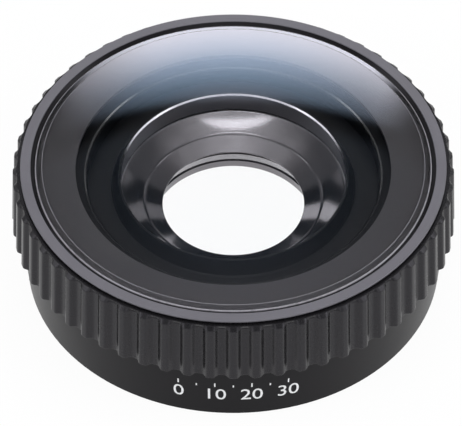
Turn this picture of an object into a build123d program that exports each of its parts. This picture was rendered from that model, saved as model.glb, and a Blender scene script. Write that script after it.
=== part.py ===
from build123d import *
import math
import os

# Wide-angle front lens for an action camera. Millimetres, +Z along the optical axis to the front.
# The origin is the middle of the rear face, which is the face that the lens rests on.
# Seen from the front the twist ring turns from locked (as drawn) to open about +Z.

# Outer shape, read from the photo
BASE_R_REAR = 21.45
BASE_R_FRONT = 22.10
BASE_STEP_Z = 6.80
BASE_RIM_R = 21.75
BASE_TOP = 7.20
GRIP_SKIRT_BOTTOM = 6.90
GRIP_SKIRT_R = 21.85
GRIP_BOTTOM = 7.30
GRIP_TOP = 14.15
CREST_R_LOW = 23.00
CREST_R_HIGH = 22.86
CREST_TOP_Z = 13.74
RIB_END_R = 22.46
GROOVE_R = 22.42
RIB_COUNT = 60
BEZEL_R = 22.08
BEZEL_UNDER = 14.36
BEZEL_EDGE_Z = 14.60
BEZEL_INNER_R = 21.00
BEZEL_INNER_Z = 14.65

# Front element and what holds it
FRONT_GLASS_R = 20.55
FRONT_CLEAR_R = 19.80
FRONT_RADIUS = 85.5
FRONT_EDGE_Z = 14.68
FRONT_BEVEL = 0.23
FRONT_REAR_RADIUS = 90.0
FRONT_REAR_R = 16.10
SEAT_Z = 12.50
MASK_T = 0.30
MASK_R = 20.95
GASKET_R_IN = 20.57
GASKET_R_OUT = 20.98
GASKET_TOP_IN = 14.30
GASKET_TOP_OUT = 14.56

# Bezel body, screwed over the front of the barrel
SKIRT_R = 21.70
SKIRT_BOTTOM = 9.10
THREAD_R = 17.50
BEZEL_LIP_R = 16.40
BARREL_TOP = 12.00

# Barrel bores
MOUTH_R = 14.90
MOUTH_CHAMFER = 0.30
MOUTH_CHAMFER_H = 0.20
NECK_R = 18.50
NECK_TOP = 9.05
INNER_SEAT_R = 12.45
INNER_SEAT_TOP = 8.60
WEB_TOP = 6.90
WEB_R = 9.70
PAIR_LIP_TOP = 6.60
PAIR_BORE_R = 8.25
PAIR_BORE_BOTTOM = 4.02
TAIL_BORE_R = 10.35
TAIL_R = 13.00
TAIL_BOTTOM = 3.00

# Inner element, the funnel over it and the ring that holds both
INNER_R = 12.40
INNER_CLEAR_R = 11.65
INNER_RADIUS = 90.0
INNER_EDGE_Z = 7.26
INNER_REAR_RADIUS = 120.0
INNER_REAR_R = 9.60
APERTURE_R = 7.22
APERTURE_Z = 8.00
APERTURE_EDGE = 0.10
FUNNEL_GROOVE_R = 9.00
FUNNEL_GROOVE_Z = 8.66
FUNNEL_EDGE_R = 11.45
FUNNEL_EDGE_Z = 9.72
FUNNEL_WALL_R = 11.70
RING_R_OUT = 14.86
RING_FOOT_R = 11.52
RING_CREST_R = 11.37
RING_CREST_Z = 11.74
RING_EDGE_W = 0.30
RING_EDGE_H = 0.13
RING_SHOULDER_R = 12.30
RING_SHOULDER_Z = 10.70
RING_FACE_Z = 10.30
RING_BOTTOM = 8.65

# Rear cemented pair and its ring
PAIR_R = 8.20
PAIR_CLEAR_R = 8.05
PAIR_TOP_Z = 6.45
PAIR_FRONT_RADIUS = 60.0
PAIR_JOIN_RADIUS = 45.0
PAIR_JOIN_Z = 5.50
PAIR_REAR_Z = 4.00
EXIT_R = 8.05
EXIT_RING_R = 10.30
EXIT_RING_BOTTOM = 3.05
NOTCH_W = 1.20
NOTCH_DEPTH = 0.45

# Rear mount: a socket with three gates and a turning ring with three lugs
BASE_BORE_R = 20.45
BASE_WEB_BOTTOM = 4.50
BASE_WEB_BORE_R = 13.05
PLATE_R = 20.40
PLATE_T = 1.40
SOCKET_R = 15.60
GATE_R = 17.05
GATE_HALF = 13.0
LUG_HALF = 12.0
LUG_ANGLES = (90.0, 210.0, 330.0)
LOCK_R = 18.20
LOCK_BOTTOM = 1.50
LOCK_TOP = 3.10
EAR_R = 20.40
EAR_HALF = 5.0
POST_R = 18.30
POST_HALF = 5.5
POST_ANGLES = (30.0, 150.0, 270.0)

# Drive from the twist ring to the lock ring
TWIST = 30.0
PIN_CIRCLE = 19.60
PIN_D = 0.90
PIN_FIT = 0.02
PIN_BOTTOM = 1.60
PIN_TOP = 8.50
PIN_ANGLES = (75.0, 195.0, 315.0)
SLOT_W = 1.00
GRIP_BORE_R = 18.55
GRIP_FLANGE_TOP = 8.80
GRIP_UPPER_BORE_R = 21.76
WASHER_R_IN = 20.75
WASHER_R_OUT = 21.30
WASHER_Z = 7.00
WASHER_TOP = 7.25
RECESS_MARGIN = 0.05

# Wave spring over the lock ring
SPRING_R_IN = 17.25
SPRING_R_OUT = 18.05
SPRING_T = 0.20
SPRING_WAVES = 3
SPRING_LOW = 3.14
SPRING_HIGH = 4.48

# Screws
SMALL_D = 1.20
SMALL_HEAD_D = 2.00
SMALL_HEAD_H = 0.60
SMALL_TIP = 4.20
SMALL_CIRCLE = 19.20
BIG_D = 1.40
BIG_HEAD_D = 2.50
BIG_HEAD_H = 0.75
BIG_TIP = 9.70
BIG_CIRCLE = 16.30
HEAD_GAP = 0.05
SCREW_GAP = 0.01
CROSS_W = 0.22
CROSS_DEPTH = 0.35

# Soft ring in the rear face
SEAL_R_IN = 17.30
SEAL_R_OUT = 17.90
SEAL_DEPTH = 0.50


def sag(radius, at):
    """Depth of a spherical cap below its vertex."""
    return radius - math.sqrt(radius * radius - at * at)


def turned(points):
    """Solid of revolution of a closed outline of (radius, height) points."""
    return revolve(Plane.XZ * make_face(Polyline(*points, close=True)), Axis.Z)


def cap(radius, vertex, at, up=True):
    """Arc of a lens face from the axis to the radius given."""
    sign = -1.0 if up else 1.0
    half = at / 2
    return ThreePointArc(
        (0, vertex),
        (half, vertex + sign * sag(radius, half)),
        (at, vertex + sign * sag(radius, at)),
    )


def lens(front, rim, rear):
    """Glass element: front arc, rim points from front to rear, rear arc."""
    outline = [front, Polyline(front @ 1, *rim, rear @ 1), rear]
    if (front @ 0 - rear @ 0).length > 1e-6:
        outline.append(Line(front @ 0, rear @ 0))
    return revolve(Plane.XZ * make_face(outline), Axis.Z)


def sector(r_in, r_out, middle, half, bottom, top):
    """Block between two radii and two angles."""
    inner = CenterArc((0, 0), r_in, middle - half, 2 * half)
    outer = CenterArc((0, 0), r_out, middle - half, 2 * half)
    face = make_face([inner, Line(inner @ 1, outer @ 1), outer, Line(outer @ 0, inner @ 0)])
    return Pos(0, 0, bottom) * extrude(face, top - bottom)


def rod(diameter, bottom, top):
    """Upright cylinder on the Z axis."""
    return Pos(0, 0, (bottom + top) / 2) * Cylinder(diameter / 2, top - bottom)


def around(shape, radius, angles):
    """Copies of a shape at the angles given, on one circle."""
    return [Rot(0, 0, angle) * Pos(radius, 0, 0) * shape for angle in angles]


def rear_base():
    """Tapered outer band with the web that carries everything else."""
    body = turned([
        (BASE_R_REAR - 0.08, 0),
        (BASE_R_REAR, 0.08),
        (BASE_R_FRONT, BASE_STEP_Z - 0.10),
        (BASE_R_FRONT - 0.10, BASE_STEP_Z),
        (BASE_RIM_R, BASE_STEP_Z),
        (BASE_RIM_R, BASE_TOP),
        (WASHER_R_OUT + RECESS_MARGIN, BASE_TOP),
        (WASHER_R_OUT + RECESS_MARGIN, WASHER_Z),
        (WASHER_R_IN - RECESS_MARGIN, WASHER_Z),
        (WASHER_R_IN - RECESS_MARGIN, BASE_TOP),
        (BASE_WEB_BORE_R, BASE_TOP),
        (BASE_WEB_BORE_R, BASE_WEB_BOTTOM),
        (BASE_BORE_R, BASE_WEB_BOTTOM),
        (BASE_BORE_R, 0),
    ])
    for angle in POST_ANGLES:
        body += sector(POST_R, BASE_BORE_R + 0.2, angle, POST_HALF, PLATE_T, BASE_WEB_BOTTOM + 0.2)
    for angle in PIN_ANGLES:
        slot = SlotArc(CenterArc((0, 0), PIN_CIRCLE, angle, TWIST), SLOT_W)
        body -= Pos(0, 0, BASE_WEB_BOTTOM - 1) * extrude(slot, BASE_TOP - BASE_WEB_BOTTOM + 2)
    head = rod(BIG_HEAD_D + 2 * HEAD_GAP, BASE_WEB_BOTTOM - 1, BASE_WEB_BOTTOM + BIG_HEAD_H + HEAD_GAP)
    shank = rod(BIG_D + 2 * HEAD_GAP, BASE_WEB_BOTTOM, BASE_TOP + 1)
    body -= around(head + shank, BIG_CIRCLE, POST_ANGLES)
    body -= around(rod(SMALL_D + 2 * SCREW_GAP, PLATE_T - 1, SMALL_TIP + 0.1), SMALL_CIRCLE, POST_ANGLES)
    return body


def mount_plate():
    """Rear plate with the socket bore and its three gates."""
    body = turned([(SOCKET_R, 0), (PLATE_R, 0), (PLATE_R, PLATE_T), (SOCKET_R, PLATE_T)])
    for angle in LUG_ANGLES:
        body -= sector(SOCKET_R - 1, GATE_R, angle, GATE_HALF, -1, PLATE_T + 1)
    body -= turned([(SEAL_R_IN, -1), (SEAL_R_OUT, -1), (SEAL_R_OUT, SEAL_DEPTH), (SEAL_R_IN, SEAL_DEPTH)])
    head = rod(SMALL_HEAD_D + 2 * HEAD_GAP, -1, SMALL_HEAD_H + HEAD_GAP)
    shank = rod(SMALL_D + 2 * HEAD_GAP, -1, PLATE_T + 1)
    body -= around(head + shank, SMALL_CIRCLE, POST_ANGLES)
    return body


def rear_gasket():
    """Soft ring that fills the groove in the rear face."""
    return turned([(SEAL_R_IN, 0), (SEAL_R_OUT, 0), (SEAL_R_OUT, SEAL_DEPTH), (SEAL_R_IN, SEAL_DEPTH)])


def cross(depth_from, depth_to, width):
    """Cross recess cutter for a screw head."""
    height = depth_to - depth_from
    bar = Box(width, CROSS_W, height) + Box(CROSS_W, width, height)
    return Pos(0, 0, (depth_from + depth_to) / 2) * bar


def mount_screws():
    """Three small screws that hold the plate on the posts of the base."""
    head_z = HEAD_GAP
    screw = rod(SMALL_HEAD_D, head_z, SMALL_HEAD_H + HEAD_GAP) + rod(SMALL_D, SMALL_HEAD_H, SMALL_TIP)
    screw -= cross(head_z - 1, head_z + CROSS_DEPTH, 1.1)
    return Compound(children=around(screw, SMALL_CIRCLE, POST_ANGLES))


def lock_ring():
    """Turning ring: three lugs inwards, three ears outwards for the drive pins."""
    body = turned([(GATE_R, LOCK_BOTTOM), (LOCK_R, LOCK_BOTTOM), (LOCK_R, LOCK_TOP), (GATE_R, LOCK_TOP)])
    for angle in LUG_ANGLES:
        body += sector(SOCKET_R, GATE_R + 0.2, angle, LUG_HALF, LOCK_BOTTOM, LOCK_TOP)
    for angle in PIN_ANGLES:
        body += sector(LOCK_R - 0.2, EAR_R, angle, EAR_HALF, LOCK_BOTTOM, LOCK_TOP)
    body -= around(rod(PIN_D + 2 * PIN_FIT, LOCK_BOTTOM - 1, LOCK_TOP + 1), PIN_CIRCLE, PIN_ANGLES)
    return body


def drive_pins():
    """Three pins that carry the turn from the twist ring to the lock ring."""
    pin = chamfer(rod(PIN_D, PIN_BOTTOM, PIN_TOP).edges().group_by(Axis.Z)[0], 0.1)
    return Compound(children=around(pin, PIN_CIRCLE, PIN_ANGLES))


def wave_edge(radius, middle, swing):
    """Closed wavy curve on a cylinder."""
    steps = 12 * SPRING_WAVES
    points = []
    for i in range(steps):
        turn = 2 * math.pi * i / steps
        height = middle + swing * math.cos(SPRING_WAVES * turn)
        points.append((radius * math.cos(turn), radius * math.sin(turn), height))
    return Spline(*points, periodic=True).edge()


def wave_spring():
    """Flat spring ring with three waves that loads the lock ring."""
    swing = (SPRING_HIGH - SPRING_LOW - SPRING_T) / 2
    low = (SPRING_LOW + SPRING_HIGH - SPRING_T) / 2
    high = low + SPRING_T
    corners = [
        wave_edge(SPRING_R_IN, low, swing),
        wave_edge(SPRING_R_OUT, low, swing),
        wave_edge(SPRING_R_OUT, high, swing),
        wave_edge(SPRING_R_IN, high, swing),
    ]
    faces = [Face.make_surface_from_curves(corners[i], corners[(i + 1) % 4]) for i in range(4)]
    return Solid(Shell(faces))


def barrel_screws():
    """Three screws from the socket side into the barrel."""
    bottom = BASE_WEB_BOTTOM + HEAD_GAP / 2
    seat = BASE_WEB_BOTTOM + BIG_HEAD_H + HEAD_GAP
    screw = rod(BIG_HEAD_D, bottom, seat) + rod(BIG_D, seat - 0.1, BIG_TIP)
    screw -= cross(bottom - 1, bottom + CROSS_DEPTH, 1.4)
    return Compound(children=around(screw, BIG_CIRCLE, POST_ANGLES))


def optical_barrel():
    """Stepped tube with the seats of the inner glass and of the rear pair."""
    body = turned([
        (TAIL_BORE_R, TAIL_BOTTOM),
        (TAIL_R - 0.2, TAIL_BOTTOM),
        (TAIL_R, TAIL_BOTTOM + 0.2),
        (TAIL_R, BASE_TOP),
        (NECK_R, BASE_TOP),
        (NECK_R, NECK_TOP),
        (THREAD_R, NECK_TOP),
        (THREAD_R, BARREL_TOP),
        (MOUTH_R + MOUTH_CHAMFER, BARREL_TOP),
        (MOUTH_R, BARREL_TOP - MOUTH_CHAMFER_H),
        (MOUTH_R, INNER_SEAT_TOP),
        (INNER_SEAT_R, INNER_SEAT_TOP),
        (INNER_SEAT_R, WEB_TOP),
        (WEB_R, WEB_TOP),
        (WEB_R, PAIR_LIP_TOP),
        (PAIR_CLEAR_R, PAIR_LIP_TOP),
        (PAIR_CLEAR_R, PAIR_TOP_Z),
        (PAIR_BORE_R, PAIR_TOP_Z),
        (PAIR_BORE_R, PAIR_BORE_BOTTOM),
        (TAIL_BORE_R, PAIR_BORE_BOTTOM),
    ])
    body -= around(rod(BIG_D + 2 * SCREW_GAP, BASE_TOP - 1, BIG_TIP + 0.1), BIG_CIRCLE, POST_ANGLES)
    return body


def glide_washer():
    """Thin low-friction ring under the twist ring."""
    return turned([
        (WASHER_R_IN, WASHER_Z),
        (WASHER_R_OUT, WASHER_Z),
        (WASHER_R_OUT, WASHER_TOP),
        (WASHER_R_IN, WASHER_TOP),
    ])


def ribbed_outline():
    """Closed outline of the ribs: one arc for each ridge and one for each groove."""
    pitch = 360.0 / RIB_COUNT
    middle = (CREST_R_LOW + GROOVE_R) / 2

    def at(radius, angle):
        turn = math.radians(angle)
        return (radius * math.cos(turn), radius * math.sin(turn))

    edges = []
    for i in range(RIB_COUNT):
        a = 90.0 + i * pitch
        edges.append(ThreePointArc(at(middle, a - pitch / 4), at(CREST_R_LOW, a), at(middle, a + pitch / 4)))
        edges.append(ThreePointArc(
            at(middle, a + pitch / 4), at(GROOVE_R, a + pitch / 2), at(middle, a + 3 * pitch / 4)))
    return make_face(edges)


def grip_ring():
    """Ribbed twist ring with the inward flange that runs on the barrel and a short skirt over the base."""
    ribs = Pos(0, 0, GRIP_SKIRT_BOTTOM) * extrude(ribbed_outline(), GRIP_TOP - GRIP_SKIRT_BOTTOM)
    envelope = turned([
        (GRIP_BORE_R, GRIP_TOP),
        (GRIP_BORE_R, GRIP_BOTTOM),
        (GRIP_SKIRT_R, GRIP_BOTTOM),
        (GRIP_SKIRT_R, GRIP_SKIRT_BOTTOM),
        (CREST_R_LOW - 0.08, GRIP_SKIRT_BOTTOM),
        (CREST_R_LOW, GRIP_SKIRT_BOTTOM + 0.08),
        (CREST_R_HIGH, CREST_TOP_Z),
        (RIB_END_R, GRIP_TOP),
    ])
    body = ribs & envelope
    body -= turned([
        (GRIP_BORE_R - 1, GRIP_FLANGE_TOP),
        (GRIP_UPPER_BORE_R, GRIP_FLANGE_TOP),
        (GRIP_UPPER_BORE_R, GRIP_TOP + 1),
        (GRIP_BORE_R - 1, GRIP_TOP + 1),
    ])
    body -= around(rod(PIN_D + 2 * PIN_FIT, GRIP_BOTTOM - 1, PIN_TOP), PIN_CIRCLE, PIN_ANGLES)
    return body


def front_bezel():
    """Front ring: thin bright flange, deep skirt and the shoulder under the glass."""
    return turned([
        (BEZEL_INNER_R, BEZEL_INNER_Z - 0.04),
        (BEZEL_INNER_R + 0.04, BEZEL_INNER_Z),
        (BEZEL_R - 0.05, BEZEL_EDGE_Z),
        (BEZEL_R, BEZEL_EDGE_Z - 0.05),
        (BEZEL_R, BEZEL_UNDER),
        (SKIRT_R, BEZEL_UNDER),
        (SKIRT_R, SKIRT_BOTTOM),
        (THREAD_R + 0.02, SKIRT_BOTTOM),
        (THREAD_R + 0.02, BARREL_TOP),
        (BEZEL_LIP_R, BARREL_TOP),
        (BEZEL_LIP_R, SEAT_Z),
        (BEZEL_INNER_R, SEAT_Z),
    ])


def mask_ring():
    """Flat grey ring behind the edge of the front glass."""
    return turned([
        (FRONT_REAR_R, SEAT_Z),
        (MASK_R, SEAT_Z),
        (MASK_R, SEAT_Z + MASK_T),
        (FRONT_REAR_R, SEAT_Z + MASK_T),
    ])


def front_glass():
    """Front element, gently domed, with a bevel round the front and a flat rim behind."""
    flange = SEAT_Z + MASK_T
    front = cap(FRONT_RADIUS, FRONT_EDGE_Z + sag(FRONT_RADIUS, FRONT_CLEAR_R), FRONT_CLEAR_R)
    rear = cap(FRONT_REAR_RADIUS, flange + sag(FRONT_REAR_RADIUS, FRONT_REAR_R), FRONT_REAR_R)
    return lens(front, [(FRONT_GLASS_R, FRONT_EDGE_Z - FRONT_BEVEL), (FRONT_GLASS_R, flange)], rear)


def front_gasket():
    """Black ring between the front glass and the bezel, its top sloping in to the glass."""
    bottom = SEAT_Z + MASK_T
    return turned([
        (GASKET_R_IN, bottom),
        (GASKET_R_OUT, bottom),
        (GASKET_R_OUT, GASKET_TOP_OUT),
        (GASKET_R_IN, GASKET_TOP_IN),
    ])


def inner_glass():
    """Second element, gently curved, on the web of the barrel."""
    front = cap(INNER_RADIUS, INNER_EDGE_Z + sag(INNER_RADIUS, INNER_CLEAR_R), INNER_CLEAR_R)
    rear = cap(INNER_REAR_RADIUS, WEB_TOP + sag(INNER_REAR_RADIUS, INNER_REAR_R), INNER_REAR_R)
    return lens(front, [(INNER_R, INNER_EDGE_Z - 0.1), (INNER_R, WEB_TOP)], rear)


def inner_retaining_ring():
    """Ring with a sharp raised lip that holds the funnel and the second element."""
    return turned([
        (RING_FOOT_R, FUNNEL_EDGE_Z + 0.03),
        (RING_CREST_R, RING_CREST_Z),
        (RING_CREST_R + RING_EDGE_W, RING_CREST_Z + RING_EDGE_H),
        (RING_CREST_R + RING_EDGE_W + 0.08, RING_CREST_Z + RING_EDGE_H - 0.03),
        (RING_SHOULDER_R, RING_SHOULDER_Z),
        (RING_SHOULDER_R + 0.10, RING_FACE_Z + 0.06),
        (RING_SHOULDER_R + 0.40, RING_FACE_Z),
        (RING_R_OUT, RING_FACE_Z),
        (RING_R_OUT, RING_BOTTOM),
        (INNER_R + 0.1, RING_BOTTOM),
        (INNER_R + 0.1, FUNNEL_EDGE_Z + 0.03),
    ])


def aperture_baffle():
    """Funnel in two steps down to the round opening, with a rim that rests on the second element."""
    return turned([
        (APERTURE_R, APERTURE_Z),
        (FUNNEL_GROOVE_R - 0.05, FUNNEL_GROOVE_Z + 0.04),
        (FUNNEL_GROOVE_R, FUNNEL_GROOVE_Z - 0.04),
        (FUNNEL_GROOVE_R + 0.05, FUNNEL_GROOVE_Z),
        (FUNNEL_EDGE_R, FUNNEL_EDGE_Z),
        (INNER_R, FUNNEL_EDGE_Z),
        (INNER_R, INNER_EDGE_Z - 0.06),
        (FUNNEL_WALL_R, INNER_EDGE_Z + 0.02),
        (FUNNEL_WALL_R, FUNNEL_EDGE_Z - 0.90),
        (FUNNEL_GROOVE_R, FUNNEL_GROOVE_Z - 0.50),
        (APERTURE_R + 0.30, APERTURE_Z - APERTURE_EDGE - 0.04),
        (APERTURE_R, APERTURE_Z - APERTURE_EDGE),
    ])


def rear_crown_glass():
    """Front half of the rear cemented pair."""
    front = cap(PAIR_FRONT_RADIUS, PAIR_TOP_Z + sag(PAIR_FRONT_RADIUS, PAIR_CLEAR_R), PAIR_CLEAR_R)
    join = cap(PAIR_JOIN_RADIUS, PAIR_JOIN_Z - sag(PAIR_JOIN_RADIUS, PAIR_R), PAIR_R, up=False)
    return lens(front, [(PAIR_R, PAIR_TOP_Z)], join)


def rear_flint_glass():
    """Rear half of the rear cemented pair, flat behind."""
    join = cap(PAIR_JOIN_RADIUS, PAIR_JOIN_Z - sag(PAIR_JOIN_RADIUS, PAIR_R), PAIR_R, up=False)
    return lens(join, [], Line((0, PAIR_REAR_Z), (PAIR_R, PAIR_REAR_Z)))


def rear_retaining_ring():
    """Flat ring under the rear pair with two notches for a spanner."""
    body = turned([
        (EXIT_R, PAIR_REAR_Z),
        (EXIT_RING_R, PAIR_REAR_Z),
        (EXIT_RING_R, EXIT_RING_BOTTOM),
        (EXIT_R, EXIT_RING_BOTTOM),
    ])
    body -= Pos(0, 0, EXIT_RING_BOTTOM) * Box(2 * EXIT_RING_R + 1, NOTCH_W, 2 * NOTCH_DEPTH)
    return body


PARTS = {
    "rear_base": rear_base,
    "mount_plate": mount_plate,
    "rear_gasket": rear_gasket,
    "mount_screws": mount_screws,
    "lock_ring": lock_ring,
    "drive_pins": drive_pins,
    "wave_spring": wave_spring,
    "barrel_screws": barrel_screws,
    "optical_barrel": optical_barrel,
    "glide_washer": glide_washer,
    "grip_ring": grip_ring,
    "front_bezel": front_bezel,
    "mask_ring": mask_ring,
    "front_glass": front_glass,
    "front_gasket": front_gasket,
    "inner_glass": inner_glass,
    "inner_retaining_ring": inner_retaining_ring,
    "aperture_baffle": aperture_baffle,
    "rear_crown_glass": rear_crown_glass,
    "rear_flint_glass": rear_flint_glass,
    "rear_retaining_ring": rear_retaining_ring,
}

os.makedirs("parts", exist_ok=True)
for name, make in PARTS.items():
    shape = make()
    box = shape.bounding_box()
    print(name, len(shape.solids()), "solids", round(shape.volume, 2), "mm3", "valid", shape.is_valid)
    print("   ", [round(v, 3) for v in (*box.min, *box.max)])
    export_step(shape, "parts/" + name + ".step")
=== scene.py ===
import math

import bmesh
import bpy
from bpy.props import FloatProperty, FloatVectorProperty, IntProperty, PointerProperty
from bpy.types import Operator, Panel, PropertyGroup
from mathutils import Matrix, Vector


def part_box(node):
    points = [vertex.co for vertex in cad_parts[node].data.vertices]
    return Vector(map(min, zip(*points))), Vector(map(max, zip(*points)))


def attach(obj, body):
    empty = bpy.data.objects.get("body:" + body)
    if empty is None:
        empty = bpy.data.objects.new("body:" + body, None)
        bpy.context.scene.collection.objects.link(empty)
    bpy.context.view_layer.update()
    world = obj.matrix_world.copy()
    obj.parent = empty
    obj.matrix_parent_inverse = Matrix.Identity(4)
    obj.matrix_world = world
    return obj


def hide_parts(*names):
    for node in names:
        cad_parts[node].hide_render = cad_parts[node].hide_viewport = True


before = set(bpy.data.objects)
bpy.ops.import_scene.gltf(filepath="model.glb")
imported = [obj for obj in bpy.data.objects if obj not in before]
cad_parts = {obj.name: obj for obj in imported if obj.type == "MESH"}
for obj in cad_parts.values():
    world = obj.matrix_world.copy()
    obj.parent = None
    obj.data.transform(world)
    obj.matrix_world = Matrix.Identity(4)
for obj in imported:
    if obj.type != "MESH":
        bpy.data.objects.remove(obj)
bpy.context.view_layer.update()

bl_info = {
    "name": "Wide-angle lens",
    "version": (1, 0, 0),
    "blender": (4, 5, 0),
    "location": "3D View > Sidebar > Lens",
    "description": "Dresses a twist-lock wide-angle lens over its fixed frame",
    "category": "Object",
}

# The scene is in metres, and outlines are written in millimetres
MM = 0.001

# Steps round a turned piece, in a rounded corner and across a lens face
TURN_STEPS = 288
ROUND_STEPS = 4
CAP_STEPS = 44

# A rounded corner's points are its curve and one on each side, which hold it close
ROUND_POINTS = ROUND_STEPS + 3
HOLD = 1.25

# Gaps in millimetres that keep a dressed face clear of the face beside it
SLIT = 0.02
HAIR = 0.01

# Radius in millimetres at which the colours of a coating end
COATING_R = 21.0

# Photograph: width in pixels, pixels in a millimetre, its centre and the middle of the bezel
PICTURE_W = 462
PIXELS_PER_MM = 9.66
CENTRE_PIXEL = (231.0, 213.0)
MIDDLE_PIXEL = (233.35, 166.1)

# Camera: width of the sensor and the height that it looks at, in millimetres
SENSOR_W = 36.0
AIM_HEIGHT = 14.5


class Wire:
    """One socket of a node tree, which can be used in sums."""

    def __init__(self, tree, socket):
        self.tree = tree
        self.socket = socket

    def __getitem__(self, output):
        return Wire(self.tree, self.socket.node.outputs[output])

    def maths(self, operation, *others):
        return self.tree.maths(operation, self, *others)

    def __add__(self, other):
        return self.maths("ADD", other)

    def __radd__(self, other):
        return self.tree.maths("ADD", other, self)

    def __sub__(self, other):
        return self.maths("SUBTRACT", other)

    def __rsub__(self, other):
        return self.tree.maths("SUBTRACT", other, self)

    def __mul__(self, other):
        return self.maths("MULTIPLY", other)

    def __rmul__(self, other):
        return self.tree.maths("MULTIPLY", other, self)

    def __truediv__(self, other):
        return self.maths("DIVIDE", other)

    def __rtruediv__(self, other):
        return self.tree.maths("DIVIDE", other, self)

    def __pow__(self, other):
        return self.maths("POWER", other)

    def __rpow__(self, other):
        return self.tree.maths("POWER", other, self)

    def max(self, other):
        return self.maths("MAXIMUM", other)

    def step(self, start, end):
        """Smooth step from 0 at start to 1 at end."""
        return self.tree.node(
            "ShaderNodeMapRange",
            {"interpolation_type": "SMOOTHSTEP"},
            {"Value": self, "From Min": start, "From Max": end},
        )

    def band(self, start, end, soft):
        """One between start and end, falling to 0 over the soft width."""
        return self.step(start - soft, start) * self.step(end + soft, end)


class Tree:
    """Node tree with one way to add a node."""

    def __init__(self, nodes):
        self.nodes = nodes

    def node(self, kind, settings=None, values=None):
        """Adds a node, its settings before its sockets' values or links, and gives its first output."""
        made = self.nodes.nodes.new(kind)
        for name, value in (settings or {}).items():
            if name == "stops":
                ramp = made.color_ramp
                while len(ramp.elements) > 1:
                    ramp.elements.remove(ramp.elements[-1])
                ramp.elements[0].position, ramp.elements[0].color = value[0]
                for position, colour in value[1:]:
                    ramp.elements.new(position).color = colour
            else:
                setattr(made, name, value)
        for name, value in (values or {}).items():
            if isinstance(value, Wire):
                self.nodes.links.new(value.socket, made.inputs[name])
            else:
                made.inputs[name].default_value = value
        return Wire(self, made.outputs[0]) if made.outputs else made

    def maths(self, operation, *values):
        return self.node("ShaderNodeMath", {"operation": operation}, dict(enumerate(values)))

    def parts(self, vector):
        """The x, y and z of a vector."""
        apart = self.node("ShaderNodeSeparateXYZ", {}, {0: vector})
        return apart["X"], apart["Y"], apart["Z"]

    def vector(self, x=0.0, y=0.0, z=0.0):
        return self.node("ShaderNodeCombineXYZ", {}, {"X": x, "Y": y, "Z": z})

    def blend(self, factor, first, second):
        """Colour between two colours."""
        mix = self.node("ShaderNodeMix", {"data_type": "RGBA"}, {0: factor, 6: first, 7: second})
        return mix[2]

    def noise(self, place, scale, detail=2.0):
        return self.node("ShaderNodeTexNoise", {}, {"Vector": place, "Scale": scale, "Detail": detail})

    def bump(self, height, distance):
        """Surface raised by a height from 0 to 1 over a distance in metres."""
        return self.node("ShaderNodeBump", {}, {"Height": height, "Distance": distance, "Strength": 1.0})

    def ramp(self, factor, *stops):
        """Colour along stops of a place from 0 to 1 and a colour."""
        return self.node("ShaderNodeValToRGB", {"stops": stops}, {"Fac": factor})


class Finish(Tree):
    """Material of one surface, on Object coordinates in metres."""

    def __init__(self, name):
        self.material = bpy.data.materials.new(name)
        self.material.use_nodes = True
        super().__init__(self.material.node_tree)
        self.nodes.nodes.clear()
        self.place = self.node("ShaderNodeTexCoord")["Object"]
        self.x, self.y, self.z = self.parts(self.place)
        self.radius = (self.x * self.x + self.y * self.y) ** 0.5
        self.turn = self.y.maths("ARCTAN2", self.x)

    def principled(self, values):
        return self.node("ShaderNodeBsdfPrincipled", {}, values)

    def close(self, surface):
        self.node("ShaderNodeOutputMaterial", {}, {"Surface": surface})
        return self.material

    def swept(self, across, around, along):
        """Place stretched round the axis, for marks that a lathe leaves."""
        return self.vector(self.radius * across, self.turn * around, self.z * along)


def rgba(colour, times=1.0):
    """Colour with its alpha, made lighter or darker by a factor."""
    return tuple(min(1.0, channel * times) for channel in colour[:3]) + (1.0,)


def black_finish(name, colour, roughness, grain, sheen=0.3):
    """Black anodised metal with a fine blasted grain."""
    tree = Finish(name)
    speck = tree.noise(tree.place, scale=9000)
    cloud = tree.noise(tree.place, scale=210, detail=3.0)
    tone = tree.blend(cloud, rgba(colour, 0.85), rgba(colour, 1.18))
    tone = tree.blend(speck.step(0.55, 0.72) * 0.35, tone, rgba(colour, 1.7))
    return tree.close(tree.principled({
        "Base Color": tone,
        "Roughness": roughness + (speck - 0.5) * 0.14 + (cloud - 0.5) * 0.08,
        "Specular IOR Level": sheen,
        "Specular Tint": (0.96, 0.925, 1.0, 1.0),
        "Normal": tree.bump(speck, grain),
    }))


def turned_finish(name, colour, roughness, metallic=0.0, sheen=0.5, groove=0.000004, gloss_edge=None):
    """Metal with a lathe tool's fine rings, and gloss between the radii and heights of a gloss edge."""
    tree = Finish(name)
    rings = tree.noise(tree.swept(across=16000, around=2.2, along=16000), scale=1.0)
    cloud = tree.noise(tree.place, scale=260)
    tone = tree.blend(rings, rgba(colour, 0.88), rgba(colour, 1.12))
    values = {
        "Base Color": tree.blend((cloud - 0.35).step(0.0, 0.35) * 0.4, tone, rgba(colour, 0.86)),
        "Roughness": roughness + (rings - 0.5) * 0.12,
        "Metallic": metallic,
        "Specular IOR Level": sheen,
        "Normal": tree.bump(rings, groove),
    }
    if gloss_edge:
        r_in, r_out, low, high = (value * MM for value in gloss_edge)
        soft = 0.03 * MM
        values["Coat Weight"] = tree.radius.band(r_in, r_out, soft) * tree.z.band(low, high, soft)
        values["Coat IOR"] = 1.9
        values["Coat Roughness"] = 0.06
    return tree.close(tree.principled(values))


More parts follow.
